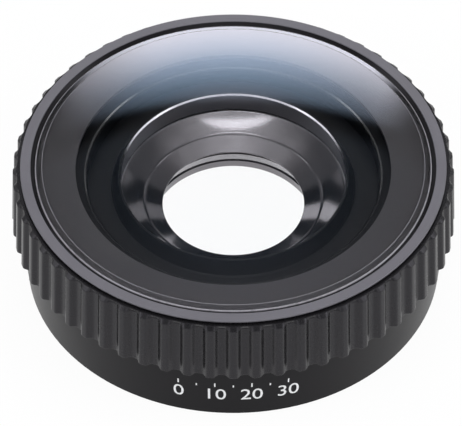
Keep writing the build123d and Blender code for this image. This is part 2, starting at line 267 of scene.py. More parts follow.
def rubber_finish(name, colour, roughness):
    """Moulded rubber, soft grey bloom over black."""
    tree = Finish(name)
    bloom = tree.noise(tree.place, scale=1500, detail=4.0)
    pores = tree.noise(tree.place, scale=6000)
    return tree.close(tree.principled({
        "Base Color": tree.blend(bloom.step(0.35, 0.75), rgba(colour), rgba(colour, 1.8)),
        "Roughness": roughness + (bloom - 0.5) * 0.2,
        "Specular IOR Level": 0.3,
        "Normal": tree.bump(pores, distance=0.00001),
    }))


def steel_finish(name, colour, roughness, marks=3000):
    """Small steel part with faint rolling marks and a warm patch here and there."""
    tree = Finish(name)
    rolled = tree.noise(tree.swept(across=marks, around=3.0, along=marks), scale=1.0, detail=3.0)
    patch = tree.noise(tree.place, scale=420)
    warm = (0.42, 0.38, 0.33, 1.0)
    tone = tree.blend(rolled, rgba(colour, 0.82), rgba(colour, 1.08))
    return tree.close(tree.principled({
        "Base Color": tree.blend(patch.step(0.55, 0.75) * 0.3, tone, warm),
        "Roughness": roughness + (rolled - 0.5) * 0.15,
        "Metallic": 1.0,
        "Normal": tree.bump(rolled, distance=0.000005),
    }))


def mask_finish(name, colour):
    """Grey screen print behind the front glass."""
    tree = Finish(name)
    speck = tree.noise(tree.place, scale=7000, detail=3.0)
    cloud = tree.noise(tree.place, scale=180)
    tone = tree.blend(cloud, rgba(colour, 0.90), rgba(colour, 1.10))
    return tree.close(tree.principled({
        "Base Color": tree.blend(speck.step(0.45, 0.7) * 0.3, tone, rgba(colour, 1.35)),
        "Roughness": 0.5 + (speck - 0.5) * 0.1,
        "Specular IOR Level": 0.3,
        "Normal": tree.bump(speck, distance=0.000001),
    }))


def glass_finish(name, index, coating, least, most):
    """Clear glass under a coating, whose mirror share grows from least to most where it is seen flatter."""
    tree = Finish(name)
    glance = tree.node("ShaderNodeLayerWeight", {}, {"Blend": 0.5})["Facing"]
    tint = tree.ramp(tree.radius / (COATING_R * MM), *coating)
    film = tree.noise(tree.place, scale=45, detail=1.0)
    clear = tree.blend(film, (1.0, 1.0, 1.0, 1.0), (0.996, 0.996, 0.996, 1.0))
    glass = tree.node("ShaderNodeBsdfRefraction", {}, {"Color": clear, "Roughness": 0.0, "IOR": index})
    mirror = tree.principled({
        "Base Color": tree.blend(film * 0.3, tint, (0.93, 0.93, 1.0, 1.0)),
        "Metallic": 1.0,
        "Roughness": 0.0,
    })
    share = least + glance.step(0.32, 0.49) * (most - least)
    return tree.close(tree.node("ShaderNodeMixShader", {}, {0: share, 1: glass, 2: mirror}))


def cement_finish(name):
    """Cemented face between two glasses, which light crosses without bending."""
    tree = Finish(name)
    film = tree.noise(tree.place, scale=90, detail=1.0)
    clear = tree.blend(film, (1.0, 1.0, 1.0, 1.0), (0.992, 0.996, 1.0, 1.0))
    return tree.close(tree.node("ShaderNodeBsdfTransparent", {}, {"Color": clear}))


def ground_finish(name, colour):
    """Ground and blackened glass edge, which shows as a grey line."""
    tree = Finish(name)
    frost = tree.noise(tree.place, scale=5200, detail=3.0)
    chips = tree.noise(tree.swept(across=300, around=26.0, along=300), scale=1.0, detail=3.0)
    tone = tree.blend(frost, rgba(colour, 0.8), rgba(colour, 1.2))
    return tree.close(tree.principled({
        "Base Color": tree.blend(chips.step(0.50, 0.70) * 0.6, tone, rgba(colour, 0.55)),
        "Roughness": 0.42 + (frost - 0.5) * 0.2,
        "Normal": tree.bump(frost, distance=0.00001),
    }))


def ink_finish(name, colour):
    """White pad-printed ink, a little thin in places."""
    tree = Finish(name)
    thin = tree.noise(tree.place, scale=4200, detail=3.0)
    return tree.close(tree.principled({
        "Base Color": tree.blend(thin.step(0.45, 0.8) * 0.35, rgba(colour), rgba(colour, 0.7)),
        "Roughness": 0.5 + (thin - 0.5) * 0.2,
        "Specular IOR Level": 0.3,
    }))


def plastic_finish(name, colour):
    """Slippery moulded plastic."""
    tree = Finish(name)
    flow = tree.noise(tree.swept(across=900, around=1.5, along=900), scale=1.0, detail=3.0)
    return tree.close(tree.principled({
        "Base Color": tree.blend(flow, rgba(colour, 0.9), rgba(colour, 1.08)),
        "Roughness": 0.35 + flow * 0.12,
        "Normal": tree.bump(flow, distance=0.000006),
    }))


def extent(node):
    """Outer radius, foot and top of a CAD node, in millimetres."""
    low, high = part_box(node)
    return round(high.x / MM, 2), round(low.z / MM, 2), round(high.z / MM, 2)


def soften(outline):
    """Outline of (radius, height, round) corners with the rounds filled in and held close."""
    points = []
    for i, (r, z, *cut) in enumerate(outline):
        corner = Vector((r, z))
        if not cut:
            points.append((r, z))
            continue
        before = (Vector(outline[i - 1][:2]) - corner).normalized() * cut[0]
        after = (Vector(outline[(i + 1) % len(outline)][:2]) - corner).normalized() * cut[0]
        points.append(tuple(corner + before * HOLD))
        for k in range(ROUND_STEPS + 1):
            s = k / ROUND_STEPS
            points.append(tuple(corner + before * (1 - s) ** 2 + after * s * s))
        points.append(tuple(corner + after * HOLD))
    return points


def lens_face(radius, rim, rim_z, up=True, outward=True):
    """Points of a spherical face that meets its rim at the height given."""
    sign = 1.0 if up else -1.0
    depth = radius - math.sqrt(radius * radius - rim * rim)
    points = []
    for i in range(CAP_STEPS + 1):
        r = rim * i / CAP_STEPS
        rise = depth - (radius - math.sqrt(radius * radius - r * r))
        points.append((r, rim_z + sign * rise))
    return points if outward else points[::-1]


def turned(name, outline, materials, slots=None, crease=32.0):
    """Closed body of revolution of an outline in millimetres; slots has each side's material number."""
    corners, rings = [], []
    for r, z in outline:
        count = TURN_STEPS if r > 0 else 1
        rings.append((len(corners), count))
        for i in range(count):
            turn = 2 * math.pi * i / TURN_STEPS
            corners.append((r * MM * math.cos(turn), r * MM * math.sin(turn), z * MM))
    faces, looks = [], []
    for k, (first, count) in enumerate(rings):
        after, others = rings[(k + 1) % len(rings)]
        if count == others == 1:
            continue
        for i in range(TURN_STEPS):
            j = i + 1
            quad = (first + i % count, first + j % count, after + j % others, after + i % others)
            faces.append(tuple(dict.fromkeys(quad)))
            looks.append(slots[k] if slots else 0)
    mesh = bpy.data.meshes.new(name)
    mesh.from_pydata(corners, [], faces)
    mesh.polygons.foreach_set("material_index", looks)
    return settled(name, mesh, materials, crease)


def settled(name, mesh, materials, crease):
    """Object at the origin from a closed mesh, its normals outward and its hard edges sharp."""
    shape = bmesh.new()
    shape.from_mesh(mesh)
    bmesh.ops.remove_doubles(shape, verts=shape.verts, dist=0.0001 * MM)
    bmesh.ops.recalc_face_normals(shape, faces=shape.faces)
    shape.to_mesh(mesh)
    shape.free()
    mesh.polygons.foreach_set("use_smooth", [True] * len(mesh.polygons))
    mesh.set_sharp_from_angle(angle=math.radians(crease))
    looks = [0] * len(mesh.polygons)
    mesh.polygons.foreach_get("material_index", looks)
    mesh.materials.clear()
    for material in materials:
        mesh.materials.append(material)
    mesh.polygons.foreach_set("material_index", looks)
    piece = bpy.data.objects.new(name, mesh)
    bpy.context.scene.collection.objects.link(piece)
    return piece


def fitted(piece, body, slot, *nodes):
    """Puts a piece on its body in place of the CAD nodes that it stands for."""
    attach(piece, body)
    if nodes:
        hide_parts(*nodes)
    return piece


def repaint(node, material):
    """New material on every slot of a CAD node that keeps its shape."""
    for holder in bpy.data.objects[node].material_slots:
        holder.link = "OBJECT"
        holder.material = material


def plain_mesh(source):
    """Mesh of an evaluated object, which is then removed."""
    graph = bpy.context.evaluated_depsgraph_get()
    mesh = bpy.data.meshes.new_from_object(source.evaluated_get(graph))
    bpy.data.objects.remove(source)
    return mesh


def grown(source, tree, inputs):
    """Runs a geometry tree over a mesh with its named inputs, and gives the plain mesh."""
    modifier = source.modifiers.new("Grow", "NODES")
    modifier.node_group = tree
    for item in tree.interface.items_tree:
        if item.in_out == "INPUT" and item.name in inputs:
            modifier[item.identifier] = inputs[item.name]
    return plain_mesh(source)


def geometry_tree(name, inputs):
    """Empty geometry tree with its named inputs; gives the tree and its group input."""
    nodes = bpy.data.node_groups.new(name, "GeometryNodeTree")
    kinds = {"geometry": "Geometry", "number": "Float", "count": "Int", "material": "Material"}
    for label, kind in inputs.items():
        nodes.interface.new_socket(label, in_out="INPUT", socket_type="NodeSocket" + kinds[kind])
    nodes.interface.new_socket("Geometry", in_out="OUTPUT", socket_type="NodeSocketGeometry")
    tree = Tree(nodes)
    return tree, tree.node("NodeGroupInput")


def finish_tree(tree, geometry, material):
    """Ends a geometry tree in real geometry with its material set."""
    real = tree.node("GeometryNodeRealizeInstances", {}, {"Geometry": geometry})
    painted = tree.node("GeometryNodeSetMaterial", {}, {"Geometry": real, "Material": material})
    tree.node("NodeGroupOutput", {}, {"Geometry": painted})
    return tree.nodes


def ribbed_sweep():
    """Tree that turns a profile round the axis and raises ribs where the profile asks for them."""
    tree, given = geometry_tree("Ribbed sweep", {
        "Profile": "geometry",
        "Path Radius": "number",
        "Rib Count": "number",
        "Rib Depth": "number",
        "Flank Sharpness": "number",
        "Steps": "count",
        "Material": "material",
    })
    profile = tree.node("GeometryNodeMeshToCurve", {}, {"Mesh": given["Profile"]})
    circle = {"Resolution": given["Steps"], "Radius": given["Path Radius"]}
    path = tree.node("GeometryNodeCurvePrimitiveCircle", {}, circle)
    sweep = tree.node("GeometryNodeCurveToMesh", {}, {"Curve": path, "Profile Curve": profile})
    x, y, z = tree.parts(tree.node("GeometryNodeInputPosition"))
    radius = (x * x + y * y) ** 0.5
    wave = (y.maths("ARCTAN2", x) * given["Rib Count"]).maths("COSINE")
    rise = (wave * given["Flank Sharpness"] * 0.5 + 0.5).step(0.0, 1.0)
    ribbed = tree.node("GeometryNodeInputNamedAttribute", {"data_type": "FLOAT"}, {"Name": "ribbed"})
    scale = 1 - ribbed * (1 - rise) * given["Rib Depth"] / radius
    moved = tree.vector(x * scale, y * scale, z * -1.0)
    shaped = tree.node("GeometryNodeSetPosition", {}, {"Geometry": sweep, "Position": moved})
    marked = tree.node(
        "GeometryNodeStoreNamedAttribute",
        {"data_type": "FLOAT", "domain": "POINT"},
        {"Geometry": shaped, "Name": "crest", "Value": ribbed * rise},
    )
    return finish_tree(tree, marked, given["Material"])


def scale_ticks():
    """Tree that stands thin bars side by side on a leaning band, every second one short."""
    tree, given = geometry_tree("Scale ticks", {
        "Geometry": "geometry",
        "Count": "count",
        "Angle Step": "number",
        "Radius": "number",
        "Lean": "number",
        "Height": "number",
        "Tick Width": "number",
        "Tick Length": "number",
        "Tick Depth": "number",
        "Short Share": "number",
        "Material": "material",
    })
    points = tree.node("GeometryNodeMeshLine", {}, {"Count": given["Count"]})
    index = tree.node("GeometryNodeInputIndex")
    turn = (index - (given["Count"] - 1) * 0.5) * given["Angle Step"] - math.pi / 2
    short = index.maths("MODULO", 2.0) * (1 - given["Short Share"])
    length = given["Tick Length"] * (1 - short)
    height = given["Height"] + length * 0.5
    radius = given["Radius"] + (length * 0.5) * given["Lean"]
    place = tree.vector(radius * turn.maths("COSINE"), radius * turn.maths("SINE"), height)
    spread = tree.node("GeometryNodeSetPosition", {}, {"Geometry": points, "Position": place})
    size = tree.vector(given["Tick Depth"], given["Tick Width"], given["Tick Length"])
    lean = given["Lean"].maths("ARCTANGENT")
    bars = tree.node("GeometryNodeInstanceOnPoints", {}, {
        "Points": spread,
        "Instance": tree.node("GeometryNodeMeshCube", {}, {"Size": size}),
        "Rotation": tree.node("FunctionNodeEulerToRotation", {}, {"Euler": tree.vector(y=lean, z=turn)}),
        "Scale": tree.vector(1.0, 1.0, 1 - short),
    })
    return finish_tree(tree, bars, given["Material"])


def span(label, note, default):
    return FloatProperty(
        name=label, description=note, default=default, unit="LENGTH", subtype="DISTANCE", precision=5
    )


def angle(label, note, degrees):
    return FloatProperty(
        name=label, description=note, default=math.radians(degrees), unit="ROTATION", subtype="ANGLE"
    )


def level(label, note, default):
    return FloatProperty(name=label, description=note, default=default, min=0)


def colour(label, note, default):
    return FloatVectorProperty(
        name=label, description=note, default=default, subtype="COLOR", min=0, max=1
    )


class LensColours(PropertyGroup):
    base_black: colour("Base band", "Black of the fixed band", (0.0055, 0.0052, 0.0060))
    grip_black: colour("Twist ring", "Black of the ribbed ring", (0.0060, 0.0057, 0.0064))
    bezel_grey: colour("Bezel", "Blue grey of the flat front ring", (0.155, 0.149, 0.168))
    mask_grey: colour("Mask", "Grey seen through the rim of the front glass", (0.089, 0.084, 0.091))
    barrel_black: colour("Barrel", "Black inside the lens", (0.007, 0.007, 0.008))
    funnel_silver: colour("Funnel", "Satin metal of the funnel round the opening", (0.225, 0.215, 0.228))
    ink_white: colour("Ink", "White of the printed scale", (0.80, 0.80, 0.80))


class GlassSizes(PropertyGroup):
    index: FloatProperty(
        name="Index", description="Refractive index of the glasses", default=1.6, min=1.3, max=2
    )
    front_radius: span("Front curve", "Radius of the outer face of the front glass", 0.0855)
    front_rear_radius: span("Front rear curve", "Radius of the hollow behind the front glass", 0.090)
    inner_radius: span("Inner curve", "Radius of the outer face of the inner glass", 0.090)
    inner_rear_radius: span("Inner rear curve", "Radius of the hollow behind the inner glass", 0.120)


class GripSizes(PropertyGroup):
    rib_count: IntProperty(
        name="Ribs", description="Ribs round the twist ring", default=60, min=12, max=120
    )
    rib_depth: span("Rib depth", "Height of a rib over its groove", 0.00052)
    flank: FloatProperty(
        name="Flank", description="Steepness of the sides of a rib", default=1.2, min=1, max=3
    )
    steps_per_rib: IntProperty(name="Steps", description="Mesh steps in one rib", default=16, min=6, max=32)


class ScaleSizes(PropertyGroup):
    number_height: span("Number height", "Height of the printed numbers", 0.0017)
    number_foot: span("Number foot", "Height of the feet of the numbers over the rear face", 0.0024)
    tick_length: span("Tick length", "Length of a long tick", 0.0006)
    tick_width: span("Tick width", "Width of a tick", 0.00014)
    number_step: angle("Number step", "Turn between two numbers", 10)


class StageSettings(PropertyGroup):
    elevation: angle("Camera elevation", "Height of the camera over the horizon", 46.03)
    distance: span("Camera distance", "From the middle of the bezel to the camera", 1.0)
    back_light: level("Back light", "Brightness of the panel behind", 2.15)
    side_light: level("Side light", "Brightness of the side panels", 1.1)
    wing_light: level("Wing light", "Brightness of the rear side panels", 0.35)
    edge_light: level("Edge light", "Brightness of the high side panels", 1.5)
    front_light: level("Front light", "Brightness of the low panel in front", 1.7)
    top_light: level("Top light", "Brightness of the ceiling", 1.0)


class LENS_OT_glasses(Operator):
    """Polish the four glasses: smooth domed bodies with thin coatings"""

    bl_idname = "lens.glasses"
    bl_label = "Glasses"

    def execute(self, context):
        sizes = context.scene.lens_glass
        pale = [(0.0, (0.8, 0.85, 0.9, 1))]
        clear = glass_finish("clear_glass", sizes.index, pale, least=0.002, most=0.03)
        self.front_glass(sizes, clear)
        self.inner_glass(sizes, clear)
        self.rear_pair(sizes)
        return {"FINISHED"}

    def front_glass(self, sizes, clear):
        """Domed glass with a bevelled facet, a ground edge and a fine line where the dome ends."""
        rim_tint = [
            (0.30, (0.92, 0.86, 1.0, 1)),
            (0.42, (0.58, 0.74, 1.0, 1)),
            (0.53, (0.48, 0.71, 1.0, 1)),
            (0.68, (0.57, 0.74, 1.0, 1)),
            (0.78, (0.74, 0.82, 1.0, 1)),
            (0.93, (0.90, 0.89, 1.0, 1)),
        ]
        materials = [
            glass_finish("front_coating", sizes.index, rim_tint, least=0.018, most=0.375),
            clear,
            ground_finish("ground_glass", (0.28, 0.27, 0.295)),
            ground_finish("faint_line", (0.16, 0.155, 0.17)),
        ]
        coated, plain, ground, faint = range(4)
        edge_r, foot, _ = extent("front_glass")
        foot += SLIT
        dome_r, dome_edge, hollow_r = 19.80, 14.68, 16.10
        facet = [(19.87, 14.658), (20.43, 14.487), (edge_r, 14.40)]
        dome = lens_face(sizes.front_radius / MM, dome_r, dome_edge)
        hollow = lens_face(sizes.front_rear_radius / MM, hollow_r, foot, outward=False)
        outline = dome + facet + [(edge_r, foot)] + hollow
        slots = [coated] * (len(dome) - 1) + [faint, coated, ground, ground] + [plain] * (len(hollow) + 1)
        piece = turned("front_glass_polished", outline, materials, slots, crease=3)
        fitted(piece, "housing", "coated_glass", "front_glass")

    def inner_glass(self, sizes, clear):
        """Second glass, hollow behind, with a flat step round its front face."""
        blue = [(0.0, (0.62, 0.74, 0.95, 1)), (0.6, (0.80, 0.82, 0.95, 1))]
        coating = glass_finish("inner_coating", sizes.index, blue, least=0.01, most=0.06)
        edge_r, foot, _ = extent("inner_glass")
        edge_r -= SLIT
        foot += SLIT
        front_r, front_edge, step_top, hollow_r = 11.65, 7.26, 7.16, 9.60
        front = lens_face(sizes.inner_radius / MM, front_r, front_edge)
        hollow = lens_face(sizes.inner_rear_radius / MM, hollow_r, foot, outward=False)
        outline = front + [(edge_r, step_top), (edge_r, foot)] + hollow
        slots = [0] * (len(front) - 1) + [1] * (len(hollow) + 3)
        piece = turned("inner_glass_polished", outline, [coating, clear], slots)
        fitted(piece, "housing", "clear_glass", "inner_glass")

    def rear_pair(self, sizes):
        """Crown and flint glass, cemented face to face."""
        pale = [(0.0, (0.7, 0.8, 0.9, 1))]
        materials = [
            glass_finish("pair_glass", sizes.index, pale, least=0.002, most=0.02),
            cement_finish("cement"),
            turned_finish("pair_edge", (0.27, 0.26, 0.28), 0.14, metallic=1.0, groove=0.0000005),
        ]
        glass, cement, edge = range(3)
        edge_r, foot, joint = extent("rear_flint_glass")
        edge_r -= HAIR
        foot += HAIR
        crown_radius, cement_radius = 60.0, 45.0
        crown_r, crown_edge = 8.05, 6.43
        front = lens_face(crown_radius, crown_r, crown_edge) + [(edge_r, crown_edge)]
        behind = lens_face(cement_radius, edge_r, joint, up=False, outward=False)
        slots = [glass] * (len(front) - 1) + [edge] + [cement] * len(behind)
        piece = turned("crown_glass_polished", front + behind, materials, slots)
        fitted(piece, "housing", "clear_glass", "rear_crown_glass")

        hollow = lens_face(cement_radius, edge_r, joint - HAIR, up=False)
        slots = [cement] * (len(hollow) - 1) + [edge, glass, glass]
        piece = turned("flint_glass_polished", hollow + [(edge_r, foot), (0, foot)], materials, slots)
        fitted(piece, "housing", "flint_glass", "rear_flint_glass")


class LENS_OT_twist_ring(Operator):
    """Sweep the ribbed twist ring, and finish the pins and the lock ring that turn with it"""

    bl_idname = "lens.twist_ring"
    bl_label = "Twist ring"

    def execute(self, context):
        sizes = context.scene.lens_grip
        colours = context.scene.lens_colours
        crest, foot, top = extent("grip_ring")
        bore, skirt, neck, rib_end = 18.55, 21.85, 21.76, 22.46
        shelf, web = 7.30, 8.80
        lean_in, slope = 0.14, 0.41
        path = 22.0
        # Radius, height, round, and how far the ribs reach the corner
        corners = [
            (bore, web, 0.08, 0),
            (bore, shelf, 0.08, 0),
            (skirt, shelf, 0.04, 0),
            (skirt, foot, 0.04, 0),
            (crest, foot, 0.08, 1),
            (crest - lean_in, top - slope, 0.05, 1),
            (rib_end, top, 0.03, 0.15),
            (neck, top, 0.04, 0),
            (neck, web, 0.10, 0),
        ]
        outline = soften([corner[:3] for corner in corners])
        ribbed = [float(corners[i // ROUND_POINTS][3]) for i in range(len(outline))]
        mesh = bpy.data.meshes.new("twist_profile")
        points = [((r - path) * MM, z * MM, 0.0) for r, z in outline]
        mesh.from_pydata(points, [(i, (i + 1) % len(points)) for i in range(len(points))], [])
        mesh.attributes.new("ribbed", "FLOAT", "POINT").data.foreach_set("value", ribbed)
        profile = bpy.data.objects.new("twist_profile", mesh)
        context.scene.collection.objects.link(profile)
        black = black_finish("twist_black", colours.grip_black, 0.28, grain=0.000006, sheen=0.34)
        mesh = grown(profile, ribbed_sweep(), {
            "Path Radius": path * MM,
            "Rib Count": float(sizes.rib_count),
            "Rib Depth": sizes.rib_depth,
            "Flank Sharpness": sizes.flank,
            "Steps": sizes.rib_count * sizes.steps_per_rib,
            "Material": black,
        })
        piece = settled("twist_ring_ribbed", mesh, [black], crease=32)
        fitted(piece, "twist_ring", "grip_black", "grip_ring")
        repaint("lock_ring", steel_finish("lock_steel", (0.52, 0.52, 0.54), 0.34))
        repaint("drive_pins", steel_finish("pin_steel", (0.62, 0.62, 0.64), 0.22))
        return {"FINISHED"}


class LENS_OT_front_ring(Operator):
    """Turn the bezel with its rounded edges, and finish the gasket and the grey mask under the glass"""

    bl_idname = "lens.front_ring"
    bl_label = "Front ring"

    def execute(self, context):
        colours = context.scene.lens_colours
        grey = turned_finish("bezel_grey", colours.bezel_grey, 0.40, metallic=0.40)
        outer, foot, top = extent("front_bezel")
        mouth, skirt, thread, lip = 21.00, 21.70, 17.52, 16.40
        fall, under, seat, ledge = 0.05, 14.36, 12.48, 12.00
        outline = soften([
            (mouth, top, 0.05),
            (outer, top - fall, 0.07),
            (outer, under, 0.04),
            (skirt, under, 0.03),
            (skirt, foot, 0.10),
            (thread, foot),
            (thread, ledge),
            (lip, ledge, 0.05),
            (lip, seat, 0.05),
            (mouth, seat),
        ])
        fitted(turned("bezel_turned", outline, [grey]), "housing", "bezel_grey", "front_bezel")
        repaint("mask_ring", mask_finish("mask_grey", colours.mask_grey))
        repaint("front_gasket", black_finish("gasket_black", (0.004, 0.0038, 0.0043), 0.22, grain=0.000002))
        return {"FINISHED"}


class LENS_OT_barrel(Operator):
    """Finish the inside: barrel, the sharp-lipped ring, the funnel down to the opening and the rear ring"""

    bl_idname = "lens.barrel"
    bl_label = "Barrel"

    def execute(self, context):
        colours = context.scene.lens_colours
        # Radii and heights of the lit edge round the mouth
        mouth = (15.07, 15.20, 11.80, 12.04)
        black = turned_finish("barrel_black", colours.barrel_black, 0.46, sheen=0.1, gloss_edge=mouth)
        repaint("optical_barrel", black)
        self.retaining_ring(colours)
        self.funnel(colours)
        silver = turned_finish("rear_ring_silver", colours.funnel_silver, 0.30, metallic=1.0)
        repaint("rear_retaining_ring", silver)
        return {"FINISHED"}

    def retaining_ring(self, colours):
        """Ring over the inner glass, with a bright edge along its raised lip."""
        materials = [
            turned_finish("ring_black", rgba(colours.barrel_black, 1.5), 0.34, sheen=0.15),
            turned_finish("ring_edge", (0.38, 0.37, 0.40), 0.18, metallic=1.0, groove=0.0000005),
            # Painted light: the bore wall of this black ring is light grey, so that it reads as lit
            turned_finish("ring_wall", (0.119, 0.119, 0.136), 0.45),
        ]
        satin, bright, painted_light_wall = range(3)
        outer, foot, _ = extent("inner_retaining_ring")
        bore, shoulder, flat = 12.50, 9.75, 10.30
        outline = soften([
            (11.52, shoulder),
            (11.43, 11.70),
            (11.55, 11.86),
            (11.75, 11.84, 0.03),
            (12.30, 10.70, 0.12),
            (12.42, 10.35, 0.06),
            (12.70, flat),
            (outer, flat),
            (outer, foot),
            (bore, foot),
            (bore, shoulder),
        ])
        slots = [painted_light_wall, bright] + [satin] * (len(outline) - 2)
        piece = turned("retaining_ring_turned", outline, materials, slots, crease=8)
        fitted(piece, "housing", "barrel_black", "inner_retaining_ring")

    def funnel(self, colours):
        """Silver funnel, whose hollow cone steepens outwards, down to the round opening."""
        silver = turned_finish(
            "funnel_silver", colours.funnel_silver, 0.09, metallic=1.0, groove=0.0000002
        )
        outer, foot, top = extent("aperture_baffle")
        outer -= SLIT
        foot += SLIT
        opening, collar, inside = 7.22, 9.00, 11.70
        cone_r, cone_foot, cone_width = 9.05, 8.66, 2.4
        slope, swell, cone_steps = 0.40, 0.0415, 12
        cone = []
        for s in (i / cone_steps for i in range(cone_steps + 1)):
            cone.append((cone_r + cone_width * s, cone_foot + cone_width * s * (slope + swell * s)))
        outline = soften([
            (opening, 8.00, 0.03),
            (8.95, 8.70, 0.05),
            (collar, 8.62),
            *cone,
            (outer, top),
            (outer, foot),
            (inside, 7.29),
            (inside, 8.82, 0.10),
            (collar, 8.16, 0.10),
            (7.52, 7.86),
            (opening, 7.90),
        ])
        fitted(turned("funnel_turned", outline, [silver]), "housing", "barrel_black", "aperture_baffle")


class LENS_OT_rear(Operator):
    """Finish the fixed band and everything behind it: plate, seal, screws, spring and washer"""

    bl_idname = "lens.rear"
    bl_label = "Base and rear mount"

    def execute(self, context):
        black = context.scene.lens_colours.base_black
        repaint("rear_base", black_finish("base_black", black, 0.34, grain=0.000005, sheen=0.11))
        repaint("mount_plate", black_finish("plate_black", rgba(black, 3.5), 0.48, grain=0.000016))
        repaint("rear_gasket", rubber_finish("seal_rubber", (0.016, 0.016, 0.018), 0.62))
        repaint("mount_screws", steel_finish("small_screw_steel", (0.50, 0.50, 0.52), 0.30))
        repaint("barrel_screws", steel_finish("large_screw_steel", (0.42, 0.42, 0.44), 0.32))
        repaint("wave_spring", steel_finish("spring_steel", (0.56, 0.55, 0.53), 0.25, marks=5200))
        repaint("glide_washer", plastic_finish("washer_white", (0.62, 0.60, 0.56)))
        return {"FINISHED"}


class LENS_OT_scale(Operator):
    """Print a plain scale of numbers and ticks on the front of the fixed band"""

    bl_idname = "lens.scale"
    bl_label = "Printed scale"

    words = ("0", "10", "20", "30")
    # Radius and height of the band's foot and height of its top, in metres
    foot_r, foot_z, top_z = 21.45 * MM, 0.08 * MM, 6.70 * MM

    def execute(self, context):
        sizes = context.scene.lens_scale
        ink = ink_finish("scale_ink", context.scene.lens_colours.ink_white)
        self.lean = (extent("rear_base")[0] * MM - self.foot_r) / (self.top_z - self.foot_z)
        for i in range(len(self.words)):
            self.number(context, sizes, i, ink)
        self.ticks(context, sizes, ink)
        return {"FINISHED"}

    def band_radius(self, z):
        return self.foot_r + (z - self.foot_z) * self.lean

    def number(self, context, sizes, i, ink):
        """One number, bent round the leaning band and standing a little proud of it."""
        word = self.words[i]
        capital_share, sunk = 0.70, 0.005 * MM
        curve = bpy.data.curves.new("number_" + word, "FONT")
        curve.body = word
        curve.size = sizes.number_height / capital_share
        curve.align_x = "CENTER"
        curve.resolution_u = 6
        curve.extrude = 0.02 * MM
        text = bpy.data.objects.new("number_" + word, curve)
        context.scene.collection.objects.link(text)
        mesh = plain_mesh(text)
        middle = (i - (len(self.words) - 1) / 2) * sizes.number_step - math.pi / 2
        for vertex in mesh.vertices:
            x, y, proud = vertex.co
            z = sizes.number_foot + y
            radius = self.band_radius(z) + proud - sunk
            turn = middle + x / self.band_radius(z)
            vertex.co = (radius * math.cos(turn), radius * math.sin(turn), z)
        fitted(settled("number_" + word, mesh, [ink], crease=60), "housing", "base_black")

    def ticks(self, context, sizes, ink):
        """A long tick over each number and a short one between two."""
        gap = 0.35 * MM
        foot = sizes.number_foot + sizes.number_height + gap
        seed = bpy.data.meshes.new("ticks")
        seed.from_pydata([(0, 0, 0)], [], [])
        ticks = bpy.data.objects.new("ticks", seed)
        context.scene.collection.objects.link(ticks)
        mesh = grown(ticks, scale_ticks(), {
            "Count": 2 * len(self.words) - 1,
            "Angle Step": sizes.number_step / 2,
            "Radius": self.band_radius(foot),
            "Lean": self.lean,
            "Height": foot,
            "Tick Width": sizes.tick_width,
            "Tick Length": sizes.tick_length,
            "Tick Depth": 0.03 * MM,
            "Short Share": 0.55,
            "Material": ink,
        })
        fitted(settled("scale_ticks", mesh, [ink], crease=32), "housing", "base_black")


